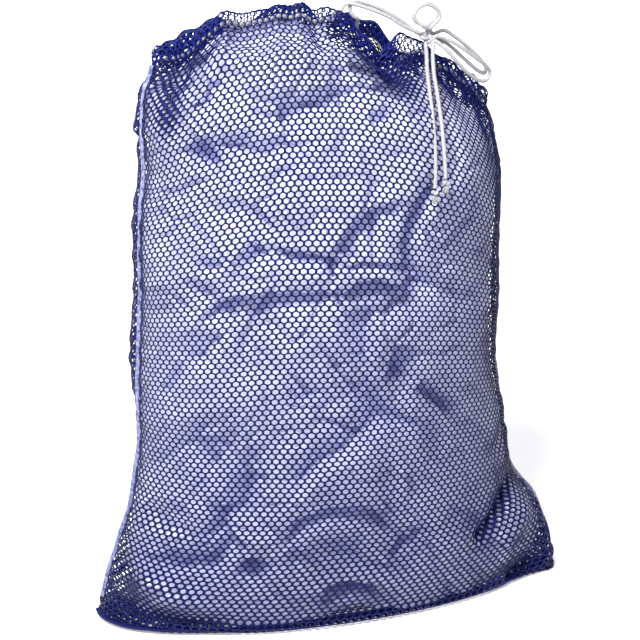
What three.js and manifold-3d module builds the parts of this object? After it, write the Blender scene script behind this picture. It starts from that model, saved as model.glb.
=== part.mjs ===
// A mesh laundry bag, 24 x 36 inch cut size, standing full of folded laundry.
// Millimetres. +Z is up, +X runs along the bottom seam, the front panel faces -Y,
// and the origin is at the centre of the base, on the surface the bag stands on.
import * as THREE from 'three';
import { mergeVertices } from 'three/addons/utils/BufferGeometryUtils.js';
import Module from 'manifold-3d';

const wasm = await Module();
wasm.setup();

// ---------- driving dimensions ----------
const CLEARANCE = 0.4;          // gap kept between touching pieces
const PANEL_THICKNESS = 3;      // the netting with its knots, as a plain shell
const PANEL_STEPS = 24;         // steps across one panel
const SEAM_GAP = 5;             // half the space between the two panels at a seam
const SEAM_WIDTH = 6;           // how far a side seam stands out
const SEAM_HALF_THICKNESS = 4;
const BOTTOM_SEAM_HEIGHT = 5;
const BOTTOM_SEAM_FORWARD = 86; // the load pushes the middle of the bottom seam this far to the front
const BOTTOM_SEAM_STEPS = 32;
const SEAM_POWER = 2;           // power of the sine that draws the bottom seam

const RIM_PEAK_Z = 774;         // the rim is an arch, highest a little left of centre
const RIM_PEAK_X = -50;
const RIM_BEND = 0.0018;        // fall of the arch, per mm squared from its peak
const RIM_HALF_WIDTH = 205;
const RIM_END_RADIUS = 24;      // the closed mouth is a slot with round ends
const RIM_ARC_SHARE = 0.12;     // share of a panel's width that each round end takes

const HEM_DEPTH = 25;           // casing height
const HEM_WALL = 2;
const HEM_WIDTH = 10;           // outer wall to inner wall
const HEM_STEPS = 44;
const EXIT_SLOT = { from: 6, to: 41 };   // where both ends of the drawstring leave the casing

const CORD_DIAMETER = 4.8;
const CORD_SIDES = 8;
const CORD_DROP = 7;            // cord centre below the casing's top
const CORD_INSET = HEM_WIDTH / 2;

const BOW = new THREE.Vector3(120, -32, 729);  // centre of the bow's knot
const BOW_RADIUS = 10;
const END_KNOT_RADIUS = 5.5;

const LOAD_GAP = 0.8;           // between neighbouring bundles of the load
const PAST_THE_LOAD = 400;      // further from the middle than any of the load

// ---------- materials ----------
const navy = (roughness) => new THREE.MeshStandardMaterial({ color: 0x1c2480, roughness, metalness: 0 });
const materials = {
  netting: navy(0.55),
  seam: navy(0.6),
  hem: navy(0.55),
  cord: new THREE.MeshStandardMaterial({ color: 0xf2f2f0, roughness: 0.7, metalness: 0 }),
  load: new THREE.MeshStandardMaterial({ color: 0xececf2, roughness: 0.95, metalness: 0 }),
};

// ---------- the bag's shape ----------
// Levels from the bottom seam up to the rim. lean 0 puts a level at z, and lean 1 puts it drop below the rim.
// round is the power of the sine across a panel: over 1 gives pointed corners, under 1 a full belly.
const level = (z, lean, drop, halfWidth, halfDepth, round, slot) =>
  ({ z, lean, drop, halfWidth, halfDepth, round, slot });
const WALL_LEVELS = [
  level(0, 0, 0, 294, 0, 1.5, 0),
  level(0, 0, 0, 293, 102, 1.5, 0),
  level(26, 0, 0, 284, 126, 1.35, 0),
  level(80, 0, 0, 264, 140, 1.15, 0),
  level(160, 0, 0, 245, 147, 1.0, 0),
  level(300, 0, 0, 232, 150, 0.92, 0),
  level(450, 0, 0, 230, 150, 0.9, 0),
  level(570, 0, 0, 225, 138, 0.9, 0),
  level(650, 0.6, 92, 215, 108, 0.85, 0.1),
  level(700, 1, 46, 208, 56, 0.85, 0.6),
  level(735, 1, HEM_DEPTH + CLEARANCE, 205, 26, 0.8, 1),
];
const LOAD_LEVELS = [
  level(5, 0, 0, 240, 72, 1.2, 0),
  level(34, 0, 0, 258, 106, 1.15, 0),
  level(80, 0, 0, 248, 124, 1.05, 0),
  level(160, 0, 0, 233, 134, 0.95, 0),
  level(300, 0, 0, 222, 138, 0.9, 0),
  level(450, 0, 0, 220, 138, 0.9, 0),
  level(570, 0, 0, 214, 126, 0.9, 0),
  level(640, 0.5, 100, 196, 92, 0.85, 0),
  level(680, 1, 72, 176, 44, 0.85, 0),
];

function rimHeight(x) {
  return RIM_PEAK_Z - RIM_BEND * (x - RIM_PEAK_X) ** 2;
}

// Half of the mouth's slot outline, from the left end to the right one, as [x, depth].
function slotPoint(u, halfWidth, radius, endDepth) {
  const straight = halfWidth - radius;
  const firstAngle = Math.asin(Math.min(1, endDepth / radius));
  const arcAngle = (share) => firstAngle + (Math.PI / 2 - firstAngle) * share;
  if (u < RIM_ARC_SHARE) {
    const angle = arcAngle(u / RIM_ARC_SHARE);
    return [-straight - radius * Math.cos(angle), radius * Math.sin(angle)];
  }
  if (u > 1 - RIM_ARC_SHARE) {
    const angle = arcAngle((1 - u) / RIM_ARC_SHARE);
    return [straight + radius * Math.cos(angle), radius * Math.sin(angle)];
  }
  const share = (u - RIM_ARC_SHARE) / (1 - 2 * RIM_ARC_SHARE);
  return [straight * (2 * share - 1), radius];
}

// How far in front of the centre line the bottom seam lies.
function bottomSeamForward(u) {
  return BOTTOM_SEAM_FORWARD * Math.sin(Math.PI * u) ** SEAM_POWER;
}

// A point of a panel: u runs from the left side seam to the right one, side is -1 in front and 1 behind.
function wallPoint(shape, side, u, endDepth) {
  if (shape.halfDepth === 0) {
    const y = side * endDepth - bottomSeamForward(u);
    return new THREE.Vector3(-shape.halfWidth * Math.cos(Math.PI * u), y, shape.z);
  }
  const roundX = -shape.halfWidth * Math.cos(Math.PI * u);
  const roundDepth = endDepth + (shape.halfDepth - endDepth) * Math.sin(Math.PI * u) ** shape.round;
  const [slotX, slotDepth] = slotPoint(u, shape.halfWidth, RIM_END_RADIUS, endDepth);
  const x = THREE.MathUtils.lerp(roundX, slotX, shape.slot);
  const y = side * THREE.MathUtils.lerp(roundDepth, slotDepth, shape.slot);
  const z = THREE.MathUtils.lerp(shape.z, rimHeight(x) - shape.drop, shape.lean);
  return new THREE.Vector3(x, y, z);
}

// The wall between two levels, for a whole number plus a share of a level.
function wallAt(levels, side, u, row, endDepth) {
  const first = Math.min(Math.floor(row), levels.length - 2);
  const low = wallPoint(levels[first], side, u, endDepth);
  const high = wallPoint(levels[first + 1], side, u, endDepth);
  return low.lerp(high, row - first);
}

// ---------- geometry helpers ----------
function geometryFrom(points, triangles) {
  const geometry = new THREE.BufferGeometry();
  geometry.setAttribute('position', new THREE.Float32BufferAttribute(points.flatMap((p) => [p.x, p.y, p.z]), 3));
  geometry.setIndex(triangles);
  return geometry;
}

// Turns a closed body's faces round if its signed volume is negative.
function facingOut(points, triangles) {
  let volume = 0;
  for (let i = 0; i < triangles.length; i += 3) {
    const [a, b, c] = [0, 1, 2].map((k) => points[triangles[i + k]]);
    volume += a.dot(new THREE.Vector3().crossVectors(b, c));
  }
  if (volume < 0) {
    for (let i = 0; i < triangles.length; i += 3) {
      [triangles[i], triangles[i + 1]] = [triangles[i + 1], triangles[i]];
    }
  }
  return geometryFrom(points, triangles);
}

// A solid from equal rings of points: closed round each ring, with a flat fan at both ends.
function sweptSolid(rings) {
  const sides = rings[0].length;
  const points = rings.flat();
  const triangles = [];
  const quad = (a, b, c, d) => triangles.push(a, b, c, a, c, d);
  for (let r = 0; r + 1 < rings.length; r += 1) {
    for (let s = 0; s < sides; s += 1) {
      const next = (s + 1) % sides;
      quad(r * sides + s, r * sides + next, (r + 1) * sides + next, (r + 1) * sides + s);
    }
  }
  const flat = THREE.ShapeUtils.triangulateShape(planar(rings[0]), []);
  const last = (rings.length - 1) * sides;
  for (const [a, b, c] of flat) {
    triangles.push(a, c, b);
    triangles.push(last + a, last + b, last + c);
  }
  return facingOut(points, triangles);
}

// A ring's points in its own plane, for filling it with triangles.
function planar(ring) {
  const centre = ring.reduce((sum, p) => sum.add(p), new THREE.Vector3()).divideScalar(ring.length);
  const normal = new THREE.Vector3();
  ring.forEach((p, i) => {
    const q = ring[(i + 1) % ring.length];
    normal.add(new THREE.Vector3().crossVectors(p.clone().sub(centre), q.clone().sub(centre)));
  });
  normal.normalize();
  const across = ring[1].clone().sub(ring[0]).normalize();
  const up = new THREE.Vector3().crossVectors(normal, across);
  return ring.map((p) => {
    const arm = p.clone().sub(centre);
    return new THREE.Vector2(arm.dot(across), arm.dot(up));
  });
}

// A thin shell: a grid of outer points, the same grid moved in, and the four edges between them.
function shell(outer, inner) {
  const rows = outer.length;
  const columns = outer[0].length;
  const points = [...outer.flat(), ...inner.flat()];
  const triangles = [];
  const quad = (a, b, c, d) => triangles.push(a, b, c, a, c, d);
  const at = (layer, r, c) => layer * rows * columns + r * columns + c;
  for (let r = 0; r + 1 < rows; r += 1) {
    for (let c = 0; c + 1 < columns; c += 1) {
      quad(at(0, r, c), at(0, r, c + 1), at(0, r + 1, c + 1), at(0, r + 1, c));
      quad(at(1, r, c), at(1, r + 1, c), at(1, r + 1, c + 1), at(1, r, c + 1));
    }
  }
  for (let c = 0; c + 1 < columns; c += 1) {
    quad(at(0, 0, c + 1), at(0, 0, c), at(1, 0, c), at(1, 0, c + 1));
    quad(at(0, rows - 1, c), at(0, rows - 1, c + 1), at(1, rows - 1, c + 1), at(1, rows - 1, c));
  }
  for (let r = 0; r + 1 < rows; r += 1) {
    quad(at(0, r, 0), at(0, r + 1, 0), at(1, r + 1, 0), at(1, r, 0));
    quad(at(0, r + 1, columns - 1), at(0, r, columns - 1), at(1, r, columns - 1), at(1, r + 1, columns - 1));
  }
  return facingOut(points, triangles);
}

// A round cord through a list of points.
function cord(points, steps) {
  const route = new THREE.CatmullRomCurve3(points.map((p) => new THREE.Vector3(...p)), false, 'centripetal');
  const section = new THREE.Shape();
  for (let i = 0; i < CORD_SIDES; i += 1) {
    const angle = (2 * Math.PI * i) / CORD_SIDES;
    const [x, y] = [Math.cos(angle), Math.sin(angle)].map((v) => (v * CORD_DIAMETER) / 2);
    if (i === 0) section.moveTo(x, y);
    else section.lineTo(x, y);
  }
  return new THREE.ExtrudeGeometry(section, { steps, extrudePath: route, bevelEnabled: false });
}

function toManifold(geometry) {
  const bare = geometry.clone();
  bare.deleteAttribute('normal');
  bare.deleteAttribute('uv');
  const merged = mergeVertices(bare, 1e-4);
  return new wasm.Manifold(new wasm.Mesh({
    numProp: 3,
    vertProperties: new Float32Array(merged.attributes.position.array),
    triVerts: new Uint32Array(merged.index.array),
  }));
}

function fromManifold(solid) {
  const mesh = solid.getMesh();
  const geometry = new THREE.BufferGeometry();
  geometry.setAttribute('position', new THREE.BufferAttribute(new Float32Array(mesh.vertProperties), 3));
  geometry.setIndex([...mesh.triVerts]);
  return geometry;
}

function boxBetween(low, high) {
  const size = high.map((v, i) => v - low[i]);
  const box = new THREE.BoxGeometry(...size);
  return box.translate(...low.map((v, i) => v + size[i] / 2));
}

const bag = new THREE.Group();
function add(name, geometry, material) {
  const mesh = new THREE.Mesh(geometry, material);
  mesh.name = name;
  bag.add(mesh);
  return mesh;
}

// ---------- netting panels ----------
// Which way a panel's inner face lies: straight up from the base, and square to the surface above it.
function panelInward(side, u, row) {
  if (WALL_LEVELS[row].z === 0) return new THREE.Vector3(0, 0, 1);
  const reachAcross = 0.02;
  const reachUp = 0.3;
  const left = wallAt(WALL_LEVELS, side, Math.max(0, u - reachAcross), row, SEAM_GAP);
  const right = wallAt(WALL_LEVELS, side, Math.min(1, u + reachAcross), row, SEAM_GAP);
  const below = wallAt(WALL_LEVELS, side, u, row - reachUp, SEAM_GAP);
  const above = wallAt(WALL_LEVELS, side, u, Math.min(WALL_LEVELS.length - 1, row + reachUp), SEAM_GAP);
  return new THREE.Vector3().crossVectors(right.sub(left), above.sub(below)).normalize().multiplyScalar(side);
}

function panel(side) {
  const outer = WALL_LEVELS.map((_, row) => {
    const places = Array.from({ length: PANEL_STEPS + 1 }, (_, i) => i / PANEL_STEPS);
    return places.map((u) => wallAt(WALL_LEVELS, side, u, row, SEAM_GAP));
  });
  const inner = outer.map((points, row) => points.map((point, i) => (
    point.clone().addScaledVector(panelInward(side, i / PANEL_STEPS, row), PANEL_THICKNESS)
  )));
  return shell(outer, inner);
}
add('front_panel', panel(-1), materials.netting);
add('back_panel', panel(1), materials.netting);

// ---------- seams ----------
// A side seam is a flat strip that stands out past both panels' edges, from the corner to the hem.
function sideSeam(direction) {
  const u = direction < 0 ? 0 : 1;
  const rings = WALL_LEVELS.slice(1).map((_, i) => {
    const edge = wallAt(WALL_LEVELS, -1, u, i + 1, SEAM_GAP);
    const near = edge.x + direction * CLEARANCE;
    const far = edge.x + direction * SEAM_WIDTH;
    const corners = [[near, -1], [far, -1], [far, 1], [near, 1]];
    return corners.map(([x, y]) => new THREE.Vector3(x, y * SEAM_HALF_THICKNESS, edge.z));
  });
  return sweptSolid(rings);
}
add('left_side_seam', sideSeam(-1), materials.seam);
add('right_side_seam', sideSeam(1), materials.seam);

// The bottom seam lies on the ground between the two corners.
function bottomSeam() {
  const cornerShare = 0.045;
  const halfThickness = SEAM_GAP - CLEARANCE;
  const rings = [];
  for (let i = 0; i <= BOTTOM_SEAM_STEPS; i += 1) {
    const u = cornerShare + ((1 - 2 * cornerShare) * i) / BOTTOM_SEAM_STEPS;
    const middle = wallPoint(WALL_LEVELS[0], 1, u, 0);
    const corners = [[-1, 0], [1, 0], [1, 1], [-1, 1]];
    rings.push(corners.map(([y, z]) => (
      new THREE.Vector3(middle.x, middle.y + y * halfThickness, z * BOTTOM_SEAM_HEIGHT)
    )));
  }
  return sweptSolid(rings);
}
add('bottom_seam', bottomSeam(), materials.seam);

// ---------- hem casing ----------
// The casing is the netting turned over at the top: two walls and a fold, open below, with the cord inside.
function mouthPoint(side, u, inset, endDepth) {
  const [x, depth] = slotPoint(u, RIM_HALF_WIDTH - inset, RIM_END_RADIUS - inset, endDepth);
  return new THREE.Vector2(x, side * depth);
}

const HEM_SECTION = [
  [0, 0], [0, HEM_DEPTH], [HEM_WIDTH, HEM_DEPTH], [HEM_WIDTH, 0],
  [HEM_WIDTH - HEM_WALL, 0], [HEM_WIDTH - HEM_WALL, HEM_DEPTH - HEM_WALL],
  [HEM_WALL, HEM_DEPTH - HEM_WALL], [HEM_WALL, 0],
];

function hemHalf(side) {
  const rings = [];
  for (let i = 0; i <= HEM_STEPS; i += 1) {
    const u = i / HEM_STEPS;
    rings.push(HEM_SECTION.map(([inset, height]) => {
      const plan = mouthPoint(side, u, inset, CLEARANCE);
      return new THREE.Vector3(plan.x, plan.y, rimHeight(plan.x) - HEM_DEPTH + height);
    }));
  }
  return sweptSolid(rings);
}

const exitSlot = boxBetween(
  [EXIT_SLOT.from, -RIM_END_RADIUS + HEM_WALL, rimHeight(EXIT_SLOT.to) - 2 * CORD_DROP],
  [EXIT_SLOT.to, -RIM_END_RADIUS + HEM_WIDTH - HEM_WALL, RIM_PEAK_Z + HEM_WALL],
);
add('front_hem', fromManifold(toManifold(hemHalf(-1)).subtract(toManifold(exitSlot))), materials.hem);
add('back_hem', hemHalf(1), materials.hem);

// ---------- drawstring ----------
// The stretch inside the casing runs once round the mouth, from one end of the exit slot to the other.
function casingCord() {
  const exitInset = 1;
  const straight = RIM_HALF_WIDTH - RIM_END_RADIUS;
  const shareAt = (x) => RIM_ARC_SHARE + (1 - 2 * RIM_ARC_SHARE) * (x / straight + 1) / 2;
  const route = [];
  const follow = (side, from, to, count) => {
    for (let i = 0; i <= count; i += 1) {
      const u = from + ((to - from) * i) / count;
      const plan = mouthPoint(side, u, CORD_INSET, 0);
      route.push([plan.x, plan.y, rimHeight(plan.x) - CORD_DROP]);
    }
  };
  follow(-1, shareAt(EXIT_SLOT.from - exitInset), 0, 14);
  follow(1, 0.02, 0.98, 24);
  follow(-1, 1, shareAt(EXIT_SLOT.to + exitInset), 12);
  return cord(route, 80);
}
add('casing_cord', casingCord(), materials.cord);

// A place just above the rim: x, y and the height over the casing's top.
const overRim = (x, y, above) => [x, y, rimHeight(x) + above];
// Where a cord leaves the bow's knot: a place just off its surface, and one a little further out.
function leaveBow(x, y, z) {
  const straightOut = 4;
  const reaches = [BOW_RADIUS + CLEARANCE, BOW_RADIUS + straightOut];
  return reaches.map((reach) => BOW.clone().add(new THREE.Vector3(x, y, z).setLength(reach)).toArray());
}
const enterBow = (x, y, z) => leaveBow(x, y, z).reverse();

const leads = {
  front_lead: [
    overRim(9, -19, -CORD_DROP), overRim(12.5, -19, -6), overRim(16.5, -19.1, -1.8), overRim(20, -19.4, 4.2),
    overRim(25, -21.8, 7.8), overRim(34, -24.6, 8.6), overRim(52, -28, 8.4), overRim(72, -30.5, 7.6),
    overRim(90, -32, 4.6), ...enterBow(-0.9, -0.02, 0.43),
  ],
  back_lead: [
    overRim(36, -19, -CORD_DROP), overRim(31.5, -19, -6), overRim(28, -18.9, -1.8), overRim(27.5, -18.2, 3.8),
    overRim(31.5, -15.4, 9.4), overRim(42, -13.8, 12), overRim(58, -14.6, 12.8), overRim(74, -16.8, 12.2),
    overRim(87, -20, 10.4), ...enterBow(-0.75, 0.6, 0.3),
  ],
};
add('front_lead', cord(leads.front_lead, 26), materials.cord);
add('back_lead', cord(leads.back_lead, 28), materials.cord);

const bowKnot = add('bow_knot', new THREE.IcosahedronGeometry(BOW_RADIUS, 3), materials.cord);
bowKnot.position.copy(BOW);

// The two bights that stand up over the knot, side by side.
const uprightLoop = (side, lean) => [
  ...leaveBow(-0.25, 0.38 * side, 0.9), [107, BOW.y + 4 * side, 747], [102 + lean, BOW.y + 3.6 * side, 754],
  [106 + lean, BOW.y + 3.4 * side, 763], [118 + lean, BOW.y + 3.4 * side, 768],
  [130 + lean, BOW.y + 3.4 * side, 762], [134.5 + lean, BOW.y + 3.6 * side, 753],
  [131, BOW.y + 4 * side, 747], ...enterBow(0.25, 0.38 * side, 0.9),
];
add('upright_loop_front', cord(uprightLoop(-1, 0), 26), materials.cord);
add('upright_loop_back', cord(uprightLoop(1, 2), 26), materials.cord);

// The two long bights that lie along the right shoulder.
const sideLoops = {
  side_loop_front: [
    ...leaveBow(0.9, -0.42, 0.05), [147, -41, 724], [163, -42, 714], [181, -39, 701], [196, -34, 690],
    [203, -30.5, 681], [199, -31.5, 671.5], [187, -36.5, 672.5], [171, -42, 683], [156, -45, 697],
    [143, -44.5, 712], ...enterBow(0.75, -0.5, -0.43),
  ],
  side_loop_back: [
    ...leaveBow(0.93, 0.3, 0.2), [145, -24, 733.5], [161, -21.5, 724], [180, -20, 709], [194, -18.5, 696],
    [201, -19.5, 686.5], [199.5, -23.5, 678.5], [190, -26.5, 682], [175, -29, 694], [158, -31.5, 709],
    [145, -32.5, 719.5], ...enterBow(0.95, 0.05, -0.3),
  ],
};
for (const [name, points] of Object.entries(sideLoops)) {
  add(name, cord(points, 34), materials.cord);
}

// The two tails hang down the front of the full bag and end in a small knot.
const tails = {
  left_tail: [
    ...leaveBow(-0.36, -0.72, -0.6), [114.5, -46.5, 711], [112.5, -54, 699], [110, -65, 686], [107, -81, 670],
    [104.5, -97, 651], [102, -112, 627], [99.5, -124, 602], [97, -131.5, 580], [96, -134, 570],
  ],
  right_tail: [
    ...leaveBow(0.3, -0.72, -0.62), [122.5, -46.5, 711], [120.5, -54, 699], [118.5, -64, 687], [116.5, -79, 672],
    [114.5, -94, 655], [113, -109, 632], [111.5, -121, 608], [110.5, -128.5, 588], [110, -131, 580],
  ],
};

// A small overhand knot with its frayed end: a ball that narrows into a short brush.
function endKnot() {
  const profile = [
    [0, 0], [3.2, -0.6], [5.0, -2.6], [END_KNOT_RADIUS, -5.2], [4.9, -7.8], [3.1, -9.6],
    [2.5, -10.8], [3.1, -14], [3.4, -18], [0, -18],
  ];
  const lathe = new THREE.LatheGeometry(profile.map(([r, z]) => new THREE.Vector2(r, z)).reverse(), 12);
  return lathe.rotateX(Math.PI / 2);
}

for (const [name, points] of Object.entries(tails)) {
  add(name, cord(points, 32), materials.cord);
  const [before, end] = points.slice(-2).map((p) => new THREE.Vector3(...p));
  const along = end.clone().sub(before).normalize();
  const knot = add(`${name}_knot`, endKnot(), materials.cord);
  knot.quaternion.setFromUnitVectors(new THREE.Vector3(0, 0, -1), along);
  knot.position.copy(end.clone().addScaledVector(along, CLEARANCE));
}

// ---------- load ----------
// The folded laundry fills the bag. The full shape is cut into bundles, row by row.
function loadShape() {
  const rings = LOAD_LEVELS.map((shape) => {
    const ring = [];
    for (let i = 0; i <= PANEL_STEPS; i += 1) ring.push(wallPoint(shape, -1, i / PANEL_STEPS, 0));
    for (let i = PANEL_STEPS - 1; i > 0; i -= 1) ring.push(wallPoint(shape, 1, i / PANEL_STEPS, 0));
    return ring;
  });
  return sweptSolid(rings);
}

const LOAD_ROWS = [
  { top: 150, cuts: [-70, 95], names: ['laundry_bottom_left', 'laundry_bottom_middle', 'laundry_bottom_right'] },
  { top: 320, cuts: [-135, 60], names: ['laundry_low_left', 'laundry_low_middle', 'laundry_low_right'] },
  { top: 460, cuts: [-20], names: ['laundry_middle_left', 'laundry_middle_right'] },
  { top: 600, cuts: [-95, 110], names: ['laundry_high_left', 'laundry_high_middle', 'laundry_high_right'] },
  { top: RIM_PEAK_Z, cuts: [-10], names: ['laundry_top_left', 'laundry_top_right'] },
];
const load = toManifold(loadShape());
let floor = 0;
for (const { top, cuts, names } of LOAD_ROWS) {
  const walls = [-PAST_THE_LOAD, ...cuts, PAST_THE_LOAD];
  names.forEach((name, i) => {
    const cell = boxBetween(
      [walls[i] + LOAD_GAP / 2, -PAST_THE_LOAD, floor + LOAD_GAP / 2],
      [walls[i + 1] - LOAD_GAP / 2, PAST_THE_LOAD, top - LOAD_GAP / 2],
    );
    add(name, fromManifold(load.intersect(toManifold(cell))), materials.load);
  });
  floor = top;
}

export default bag;
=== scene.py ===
"""A navy mesh laundry bag standing full of white laundry, tied at the mouth with a white drawstring.

Lengths are in metres. The front of the bag faces -Y, and the bottom seam runs along X.
"""

import math

import bpy
import numpy as np
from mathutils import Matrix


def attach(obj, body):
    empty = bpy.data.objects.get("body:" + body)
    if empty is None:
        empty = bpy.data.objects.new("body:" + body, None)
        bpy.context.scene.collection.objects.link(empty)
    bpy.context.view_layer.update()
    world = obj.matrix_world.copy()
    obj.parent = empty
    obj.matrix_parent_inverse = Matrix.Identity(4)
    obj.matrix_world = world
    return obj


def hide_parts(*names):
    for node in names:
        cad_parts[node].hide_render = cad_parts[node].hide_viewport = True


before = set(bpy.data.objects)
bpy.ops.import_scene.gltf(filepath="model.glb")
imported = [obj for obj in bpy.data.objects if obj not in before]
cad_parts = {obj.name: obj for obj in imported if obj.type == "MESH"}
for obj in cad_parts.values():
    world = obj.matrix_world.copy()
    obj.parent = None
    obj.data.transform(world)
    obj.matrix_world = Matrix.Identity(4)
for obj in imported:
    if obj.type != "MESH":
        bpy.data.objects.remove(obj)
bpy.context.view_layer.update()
MM = 0.001
TURN = 2.0 * math.pi


# ---- camera
VIEW_AZIMUTH = -17.0
VIEW_ELEVATION = 20.0
VIEW_DISTANCE = 2.2
VIEW_TARGET = (-0.004, 0.0, 0.370)
SENSOR_MM = 36.0
LENS_MM = 97.9


def make_camera():
    data = bpy.data.cameras.new("camera")
    data.lens = LENS_MM
    data.sensor_width = SENSOR_MM
    camera = bpy.data.objects.new("camera", data)
    bpy.context.scene.collection.objects.link(camera)
    azimuth = math.radians(VIEW_AZIMUTH)
    elevation = math.radians(VIEW_ELEVATION)
    back = np.array([
        math.sin(azimuth) * math.cos(elevation),
        -math.cos(azimuth) * math.cos(elevation),
        math.sin(elevation),
    ])
    camera.location = np.array(VIEW_TARGET) + back * VIEW_DISTANCE
    camera.rotation_euler = (math.pi / 2 - elevation, 0.0, azimuth)
    bpy.context.scene.camera = camera


# ---- small maths
def unit_clip(value):
    return np.clip(value, 0.0, 1.0)


def smoothstep(low, high, value):
    share = unit_clip((value - low) / (high - low))
    return share * share * (3.0 - 2.0 * share)


def normalised(vectors):
    length = np.linalg.norm(vectors, axis=-1, keepdims=True)
    return vectors / np.maximum(length, 1e-12)


def step_lengths(path):
    return np.linalg.norm(np.diff(path, axis=0), axis=1)


def length_of(path):
    return float(step_lengths(path).sum())


def catmull_rom(points, count):
    """count places, evenly spaced by length, on a smooth curve through the points."""
    points = np.asarray(points, float)
    gaps = step_lengths(points) ** 0.5
    knots = np.concatenate([[0.0], np.cumsum(gaps)])
    ends = np.array([2 * points[0] - points[1], 2 * points[-1] - points[-2]])
    padded = np.vstack([ends[0], points, ends[1]])
    padded_knots = np.concatenate([[-gaps[0]], knots, [knots[-1] + gaps[-1]]])
    places = np.linspace(0.0, knots[-1], 40 * len(points))
    first = np.clip(np.searchsorted(knots, places, side="right") - 1, 0, len(points) - 2)
    knot = [padded_knots[first + k][:, None] for k in range(4)]
    near = [padded[first + k] for k in range(4)]
    t = places[:, None]

    def blend(low, high, start, end):
        span = knot[end] - knot[start]
        return (knot[end] - t) / span * low + (t - knot[start]) / span * high

    once = [blend(near[k], near[k + 1], k, k + 1) for k in range(3)]
    twice = [blend(once[k], once[k + 1], k, k + 2) for k in range(2)]
    return resample(blend(*twice, 1, 2), count)


def resample(curve, count):
    """count places, evenly spaced by length, on a polyline."""
    along = np.concatenate([[0.0], np.cumsum(step_lengths(curve))])
    places = np.linspace(0.0, along[-1], count)
    return np.stack([np.interp(places, along, curve[:, k]) for k in range(curve.shape[1])], -1)


def lattice_noise(points, seed):
    """Smooth noise from -1 to 1 at each point, one lattice cell to a unit."""
    cell = np.floor(points).astype(np.int64)
    inside = points - cell
    blend = inside * inside * inside * (inside * (inside * 6.0 - 15.0) + 10.0)
    total = np.zeros(points.shape[:-1])
    for corner in np.ndindex(2, 2, 2):
        at = cell + np.array(corner)
        mixed = at[..., 0] * 73856093 ^ at[..., 1] * 19349663 ^ at[..., 2] * 83492791 ^ seed * 2654435761
        mixed = (mixed ^ (mixed >> 13)) * 1274126177
        value = ((mixed ^ (mixed >> 16)) & 0xFFFFF) / 0xFFFFF * 2.0 - 1.0
        weight = np.prod(np.where(np.array(corner) == 1, blend, 1.0 - blend), axis=-1)
        total += value * weight
    return total


def rolling_noise(points, seed, octaves=3):
    total = np.zeros(points.shape[:-1])
    for octave in range(octaves):
        total += lattice_noise(points * 2.0 ** octave, seed + octave) / 2.0 ** octave
    return total


def noise_line(along, lane, layer=0.5):
    """Places along a straight line through the noise. Each use has a lane of its own."""
    return np.stack([along, np.full_like(along, lane), np.full_like(along, layer)], -1)


def distance_to_line(points, line):
    """Each point's distance from a polyline, its share of the way along, and whether it's on the right."""
    line = np.asarray(line, float)
    parts = step_lengths(line)
    begins = np.concatenate([[0.0], np.cumsum(parts)])
    best = np.full(points.shape[:-1], 1e9)
    along = np.zeros(points.shape[:-1])
    on_right = np.zeros(points.shape[:-1], bool)
    for k, (start, end) in enumerate(zip(line[:-1], line[1:])):
        run = end - start
        share = unit_clip(((points - start) @ run) / (run @ run))
        gap = np.linalg.norm(points - start - share[..., None] * run, axis=-1)
        nearer = gap < best
        best = np.where(nearer, gap, best)
        along = np.where(nearer, (begins[k] + share * parts[k]) / begins[-1], along)
        turn = run[0] * (points[..., 1] - start[1]) - run[1] * (points[..., 0] - start[0])
        on_right = np.where(nearer, turn < 0.0, on_right)
    return best, along, on_right


# ---- the bag's shape
# u runs across a panel, from the left side seam at 0 to the right one at 1.
# v runs up a panel, from the bottom seam at 0 to the foot of the hem at 1.
FLAT_WIDTH = 0.610
FLAT_HEIGHT = 0.889
RIM_PEAK_Z = 0.774
RIM_PEAK_X = -0.050
RIM_BEND = 1.8
RIM_END_RADIUS = 0.024
RIM_ARC_SHARE = 0.12
BOTTOM_SEAM_FORWARD = 0.112
BOTTOM_SEAM_HALF_WIDTH = 0.306
BOTTOM_SEAM_X = 0.006
BOTTOM_SEAM_Z = 0.003
GRID_ACROSS = 301
GRID_UP = 421
GRID_U = np.linspace(0.0, 1.0, GRID_ACROSS)
GRID_V = np.linspace(0.0, 1.0, GRID_UP)
OUTLINE_STEPS = 601
LEVEL_STEPS = 10
NET_LOWEST = 0.0025

# Each level, with lengths in millimetres: height, lean towards the rim's arch, drop below it, half width,
# front and back half depths, how pointed the corners are, share of the mouth's slot shape, shift along X.
LEVEL_UNITS = np.array([MM, 1.0, MM, MM, MM, MM, 1.0, 1.0, MM])
LEVELS = LEVEL_UNITS * np.array([
    [3, 0, 0, 306, 0, 0, 1, 0, 6],
    [2, 0, 0, 305, 118, 95, 0.95, 0, 7],
    [22, 0, 0, 301, 127, 112, 0.95, 0, 10],
    [56, 0, 0, 294.5, 135, 128, 1, 0, 11.5],
    [95, 0, 0, 280.5, 141, 137, 1, 0, 10.5],
    [140, 0, 0, 259, 145, 142, 0.98, 0, 3],
    [200, 0, 0, 247.5, 149, 147, 0.95, 0, 2.5],
    [300, 0, 0, 234, 151, 150, 0.92, 0, -2],
    [400, 0, 0, 232, 151, 150, 0.9, 0, -1],
    [500, 0, 0, 230.5, 147, 147, 0.9, 0, -0.5],
    [575, 0.1, 170, 225.5, 138, 137, 0.9, 0, 3.5],
    [640, 0.5, 105, 223, 118, 116, 0.88, 0.05, 0.5],
    [690, 0.9, 50, 218.5, 80, 76, 0.86, 0.2, 0],
    [720, 1, 34, 214.5, 47, 38, 0.85, 0.5, 2.5],
    [740, 1, 22, 208, 28, 15, 0.85, 0.9, 1],
])


def rim_height(x):
    return RIM_PEAK_Z - RIM_BEND * (x - RIM_PEAK_X) ** 2


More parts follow.
